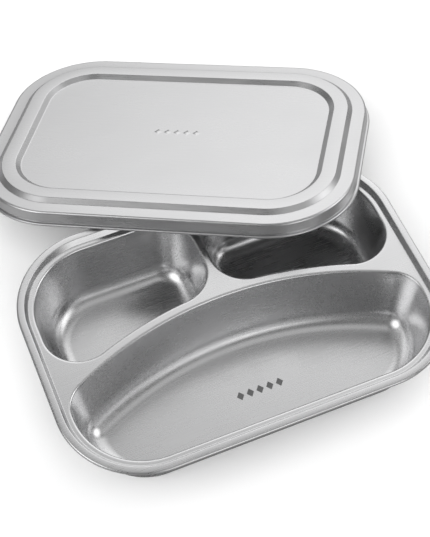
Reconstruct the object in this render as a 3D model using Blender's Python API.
"""Pressed-steel bento lunch box: a three-compartment tray and its press-on lid, laid leaning.

Frame: metres, +Z up, +X along the tray's long side, +Y from the crescent well towards the two
small wells. The table is the plane z = 0. The origin is the middle of the flat underside of
the crescent well. The lid is off: its front lies across the tray's back rim and its back
corner stands on the table.
"""
from math import atan2, cos, pi, radians, sin, sqrt, tan

import bmesh
import bpy
from mathutils import Vector

MM = 0.001

# Tray: one deep-drawn sheet.
TRAY_HALF_X = 120.0 * MM
TRAY_HALF_Y = 84.8 * MM
TRAY_CORNER = 52.2 * MM
TRAY_HEIGHT = 47.0 * MM
TRAY_SHEET = 0.6 * MM
TRAY_CENTRE_Y = 33.0 * MM

RIM_HEM_RADIUS = 1.3 * MM       # outer edge, rolled down and under
RIM_HEM_RETURN = 2.6 * MM       # how far in the rolled edge ends
FLANGE_WIDTH = 4.2 * MM         # outer edge to the start of the inner edge's round
FLANGE_EDGE_RADIUS = 0.8 * MM
DECK_DROP = 3.7 * MM            # the deck lies this far under the flange
DECK_WALL_FOOT = 6.9 * MM       # outer edge to where the deck becomes flat
DECK_FOOT_RADIUS = 0.6 * MM

# Wells: mouths in the deck.
WELL_MARGIN = 8.8 * MM          # outer edge of the tray to a well's mouth
ARC_CENTRE_Y = -205.5 * MM      # both sides of the curved divider share this centre
CRESCENT_ARC = 216.8 * MM
DIVIDER_WIDTH = 3.4 * MM        # between the crescent and the small wells, along the arc
SPLIT_HALF_WIDTH = 1.1 * MM     # half the divider between the two small wells
CRESCENT_END_CORNER = 20.0 * MM
SMALL_FRONT_CORNER = 23.5 * MM
SMALL_INNER_CORNER = 25.0 * MM
MOUTH_RADIUS = 1.6 * MM
WALL_DRAFT = radians(9.5)
FLOOR_FILLET = 12.0 * MM
FLOOR_CORNER_MIN = 3.0 * MM

# Lid: one stamped sheet with a raised ring and a hemmed skirt.
LID_HALF_X = 119.8 * MM
LID_HALF_Y = 85.3 * MM
LID_CORNER = 53.4 * MM
LID_SHEET = 0.5 * MM
LID_FOLD_RADIUS = 1.8 * MM
LID_SKIRT = 7.5 * MM            # top of the flange to the hem's upper side
LID_SKIRT_FLARE = 0.8 * MM
LID_HEM_RADIUS = 0.9 * MM
LID_HEM_OUT = 2.1 * MM          # how far the hem stands out past the fold
LID_HEM_DROP = 0.35 * MM        # end of the skirt to the hem's upper side
LID_HEM_RETURN = 0.2 * MM       # how far inside the skirt the rolled edge ends
LID_HEM_LIP = (0.15 * MM, 0.25 * MM)  # out and down, from the skirt to the hem
RING_FOOT_OUTER = 9.0 * MM      # insets of the raised ring's slopes
RING_TOP_OUTER = 12.1 * MM
RING_TOP_INNER = 21.0 * MM
RING_FOOT_INNER = 24.1 * MM
RING_HEIGHT = 2.6 * MM
RING_ROUND = 0.9 * MM

# The lid's lean.
LID_PLACE = (19.1 * MM, TRAY_CENTRE_Y + 137.9 * MM)
LID_TURN = (radians(-14.44), radians(-6.19), radians(-31.2))

# Facets.
BIG_CORNER_STEPS = 8
SMALL_CORNER_STEPS = 6
CRESCENT_ARC_STEPS = 10
SMALL_ARC_STEPS = 7
FILLET_STEPS = 6
MOUTH_STEPS = 3
RIM_HEM_STEPS = 6
EDGE_STEPS = 2
LID_HEM_STEPS = 5
LID_FOLD_STEPS = 4
SHARP_ANGLE = radians(50)

LEVEL = 1e-7                    # how far from the deck's plane a deck vertex may lie

STEEL_COLOUR = (0.62, 0.62, 0.63, 1.0)
STEEL_ROUGHNESS = 0.3


def polar(centre, radius, angle):
    return (centre[0] + radius * cos(angle), centre[1] + radius * sin(angle))


def sweep(start, end, steps):
    """Angles from start to end, both included."""
    return [start + (end - start) * i / steps for i in range(steps + 1)]


def rounded_rectangle(half_x, half_y, radius, steps):
    """Counter-clockwise outline, centred on the tray or lid's middle."""
    outline = []
    for sign_x, sign_y, start in ((1, -1, -pi / 2), (1, 1, 0), (-1, 1, pi / 2), (-1, -1, pi)):
        centre = (sign_x * (half_x - radius), sign_y * (half_y - radius))
        outline += [polar(centre, radius, a) for a in sweep(start, start + pi / 2, steps)]
    return outline


# A well's side is ("line", point, inward normal) or ("arc", centre, radius, sign), with sign
# +1 where the well lies inside the circle and -1 where it lies outside.

def circle_radius(side, inset):
    return side[2] - side[3] * inset


def line_point(side, inset):
    return (side[1][0] + side[2][0] * inset, side[1][1] + side[2][1] * inset)


def foot(side, inset, point):
    """Nearest point to `point` on a side moved in by `inset`."""
    if side[0] == "arc":
        angle = atan2(point[1] - side[1][1], point[0] - side[1][0])
        return polar(side[1], circle_radius(side, inset), angle)
    base, normal = line_point(side, inset), side[2]
    away = (point[0] - base[0]) * normal[0] + (point[1] - base[1]) * normal[1]
    return (point[0] - away * normal[0], point[1] - away * normal[1])


def meet(first, second, inset):
    """Where two neighbouring sides cross when both are moved in by `inset`."""
    if first[0] == "arc":
        first, second = second, first
    base, normal = line_point(first, inset), first[2]
    along = (-normal[1], normal[0])
    if second[0] == "line":
        other, facing = line_point(second, inset), second[2]
        gap = (other[0] - base[0]) * facing[0] + (other[1] - base[1]) * facing[1]
        reach = gap / (along[0] * facing[0] + along[1] * facing[1])
        return (base[0] + along[0] * reach, base[1] + along[1] * reach)
    # Every arc's centre is far in front of the tray, so the crossing has the larger y.
    off = base[0] - second[1][0]
    height = sqrt(circle_radius(second, inset) ** 2 - off ** 2)
    return (base[0], second[1][1] + height)


def well_outline(sides, corners, arc_steps, inset):
    """Counter-clockwise outline of a well at `inset` from its mouth.

    Corner i, given as (radius, steps), joins side i to the next side.
    """
    rounds = []
    for i, (radius, steps) in enumerate(corners):
        radius = max(radius - inset, FLOOR_CORNER_MIN)
        side, following = sides[i], sides[(i + 1) % len(sides)]
        centre = meet(side, following, inset + radius)
        start, end = foot(side, inset, centre), foot(following, inset, centre)
        start = atan2(start[1] - centre[1], start[0] - centre[0])
        end = atan2(end[1] - centre[1], end[0] - centre[0])
        if end < start:
            end += 2 * pi
        rounds.append([polar(centre, radius, a) for a in sweep(start, end, steps)])
    outline = []
    for i, points in enumerate(rounds):
        outline += points
        side = sides[(i + 1) % len(sides)]
        if side[0] == "arc":
            following = rounds[(i + 1) % len(rounds)][0]
            angles = [atan2(p[1] - side[1][1], p[0] - side[1][0]) for p in (points[-1], following)]
            for angle in sweep(*angles, arc_steps)[1:-1]:
                outline.append(polar(side[1], circle_radius(side, inset), angle))
    return outline


def crescent(inset):
    """The big front well, with its far side bowed towards the small wells."""
    x, y = TRAY_HALF_X - WELL_MARGIN, TRAY_HALF_Y - WELL_MARGIN
    corner = (TRAY_CORNER - WELL_MARGIN, BIG_CORNER_STEPS)
    end = (CRESCENT_END_CORNER, SMALL_CORNER_STEPS)
    sides = (
        ("line", (0, -y), (0, 1)),
        ("line", (x, 0), (-1, 0)),
        ("arc", (0, ARC_CENTRE_Y), CRESCENT_ARC, 1),
        ("line", (-x, 0), (1, 0)),
    )
    return well_outline(sides, (corner, end, end, corner), CRESCENT_ARC_STEPS, inset)


def left_well(inset):
    """The left small well, whose front side follows the curved divider."""
    x, y = TRAY_HALF_X - WELL_MARGIN, TRAY_HALF_Y - WELL_MARGIN
    sides = (
        ("arc", (0, ARC_CENTRE_Y), CRESCENT_ARC + DIVIDER_WIDTH, -1),
        ("line", (-SPLIT_HALF_WIDTH, 0), (-1, 0)),
        ("line", (0, y), (0, -1)),
        ("line", (-x, 0), (1, 0)),
    )
    corners = (
        (SMALL_FRONT_CORNER, SMALL_CORNER_STEPS),
        (SMALL_INNER_CORNER, SMALL_CORNER_STEPS),
        (TRAY_CORNER - WELL_MARGIN, BIG_CORNER_STEPS),
        (SMALL_FRONT_CORNER, SMALL_CORNER_STEPS),
    )
    return well_outline(sides, corners, SMALL_ARC_STEPS, inset)


def right_well(inset):
    """The left small well mirrored."""
    return [(-x, y) for x, y in reversed(left_well(inset))]


def well_profile():
    """(inset, depth below the deck) down a well's side, from its mouth to its floor."""
    depth = TRAY_HEIGHT - TRAY_SHEET - DECK_DROP
    steep = pi / 2 - WALL_DRAFT
    mouth = sweep(0, steep, MOUTH_STEPS)
    profile = [(MOUTH_RADIUS * sin(a), MOUTH_RADIUS * (1 - cos(a))) for a in mouth]
    top_inset, top_depth = profile[-1]
    wall_end = depth - FLOOR_FILLET * (1 - cos(steep))
    floor_inset = top_inset + (wall_end - top_depth) * tan(WALL_DRAFT) + FLOOR_FILLET * sin(steep)
    for angle in sweep(steep, 0, FILLET_STEPS):
        inset = floor_inset - FLOOR_FILLET * sin(angle)
        profile.append((inset, depth - FLOOR_FILLET * (1 - cos(angle))))
    return profile


def rim_profile():
    """(inset, height above the rim's top) from the hem's inner end to the foot on the deck."""
    r = RIM_HEM_RADIUS
    profile = [(RIM_HEM_RETURN, -2 * r)]
    for angle in sweep(-pi / 2, pi / 2, RIM_HEM_STEPS):
        profile.append((r - r * cos(angle), -r + r * sin(angle)))
    slope = atan2(DECK_DROP, DECK_WALL_FOOT - FLANGE_WIDTH)
    for angle in sweep(0, slope, EDGE_STEPS):
        profile.append((FLANGE_WIDTH + FLANGE_EDGE_RADIUS * sin(angle),
                        -FLANGE_EDGE_RADIUS * (1 - cos(angle))))
    for angle in sweep(slope, 0, EDGE_STEPS):
        profile.append((DECK_WALL_FOOT - DECK_FOOT_RADIUS * sin(angle),
                        -DECK_DROP + DECK_FOOT_RADIUS * (1 - cos(angle))))
    return profile


def lid_profile():
    """(inset, height above the flange) from the hem's inner end to the centre panel."""
    r = LID_HEM_RADIUS
    bead = (r - LID_HEM_OUT, -LID_SKIRT - LID_HEM_DROP - r)
    profile = [(LID_HEM_RETURN - LID_SKIRT_FLARE, bead[1] - r)]
    for angle in sweep(-pi / 2, pi / 2, LID_HEM_STEPS):
        profile.append((bead[0] - r * cos(angle), bead[1] + r * sin(angle)))
    profile.append((-LID_SKIRT_FLARE - LID_HEM_LIP[0], -LID_SKIRT - LID_HEM_LIP[1]))
    profile.append((-LID_SKIRT_FLARE, -LID_SKIRT))
    for angle in sweep(0, pi / 2, LID_FOLD_STEPS):
        profile.append((LID_FOLD_RADIUS * (1 - cos(angle)), -LID_FOLD_RADIUS * (1 - sin(angle))))
    for foot_inset, top_inset in ((RING_FOOT_OUTER, RING_TOP_OUTER),
                                  (RING_FOOT_INNER, RING_TOP_INNER)):
        away = RING_ROUND if top_inset > foot_inset else -RING_ROUND
        half = away / 2
        step = RING_HEIGHT / (top_inset - foot_inset) * half
        rise = [(foot_inset - away, 0.0), (foot_inset + half, step),
                (top_inset - half, RING_HEIGHT - step), (top_inset + away, RING_HEIGHT)]
        profile += rise if away > 0 else rise[::-1]
    return profile


def add_ring(bm, outline, height):
    return [bm.verts.new((x, y, height)) for x, y in outline]


def bridge(bm, outer, inner):
    """Quads between two counter-clockwise rings, facing up where the inner one lies inside."""
    count = len(outer)
    for i in range(count):
        j = (i + 1) % count
        bm.faces.new((outer[i], outer[j], inner[j], inner[i]))


def skin(bm, half_x, half_y, corner, profile):
    """The surface swept round a rounded rectangle by (inset, height) points; its last ring."""
    ring = None
    for inset, height in profile:
        outline = rounded_rectangle(half_x - inset, half_y - inset, corner - inset, BIG_CORNER_STEPS)
        following = add_ring(bm, outline, height)
        if ring:
            bridge(bm, ring, following)
        ring = following
    return ring


def ring_edges(bm, ring):
    return [bm.edges.get((ring[i - 1], ring[i])) for i in range(len(ring))]


def sheet_object(name, bm, thickness, material):
    """A named object whose surface is thickened downwards into one closed sheet."""
    mesh = bpy.data.meshes.new(name)
    bm.to_mesh(mesh)
    bm.free()
    mesh.materials.append(material)
    mesh.shade_smooth()
    mesh.set_sharp_from_angle(angle=SHARP_ANGLE)
    obj = bpy.data.objects.new(name, mesh)
    bpy.context.scene.collection.objects.link(obj)
    solid = obj.modifiers.new("Sheet", "SOLIDIFY")
    solid.thickness = thickness
    solid.offset = -1
    solid.use_even_offset = True
    return obj


def steel(name):
    material = bpy.data.materials.new(name)
    material.use_nodes = True
    shader = material.node_tree.nodes["Principled BSDF"]
    shader.inputs["Base Color"].default_value = STEEL_COLOUR
    shader.inputs["Metallic"].default_value = 1.0
    shader.inputs["Roughness"].default_value = STEEL_ROUGHNESS
    return material


def tray():
    """Rolled rim, sunken deck and three drawn wells in one sheet."""
    bm = bmesh.new()
    ring = skin(bm, TRAY_HALF_X, TRAY_HALF_Y, TRAY_CORNER, rim_profile())
    deck_edges = ring_edges(bm, ring)
    for outline in (crescent, left_well, right_well):
        ring = None
        for inset, depth in well_profile():
            following = add_ring(bm, outline(inset), -DECK_DROP - depth)
            if ring:
                bridge(bm, ring, following)
            else:
                mouth = following
            ring = following
        bm.faces.new(ring)
        deck_edges += ring_edges(bm, mouth)
    bmesh.ops.triangle_fill(bm, use_beauty=True, edges=deck_edges, normal=Vector((0, 0, 1)))
    bmesh.ops.recalc_face_normals(bm, faces=bm.faces)
    deck = [f for f in bm.faces if all(abs(v.co.z + DECK_DROP) < LEVEL for v in f.verts)]
    if deck[0].normal.z < 0:
        bmesh.ops.reverse_faces(bm, faces=bm.faces)
    obj = sheet_object("tray", bm, TRAY_SHEET, steel("tray_steel"))
    obj.location = (0, TRAY_CENTRE_Y, TRAY_HEIGHT)


def lid():
    """Centre panel, raised ring, flange, skirt and hem in one sheet, leaning on the tray."""
    bm = bmesh.new()
    bm.faces.new(skin(bm, LID_HALF_X, LID_HALF_Y, LID_CORNER, lid_profile()))
    obj = sheet_object("lid", bm, LID_SHEET, steel("lid_steel"))
    obj.location = (*LID_PLACE, 0)
    obj.rotation_euler = LID_TURN
    bpy.context.view_layer.update()
    lowest = min((obj.matrix_world @ v.co).z for v in obj.data.vertices)
    obj.location.z = -lowest


def main():
    for old in list(bpy.data.objects):
        bpy.data.objects.remove(old)
    tray()
    lid()


main()
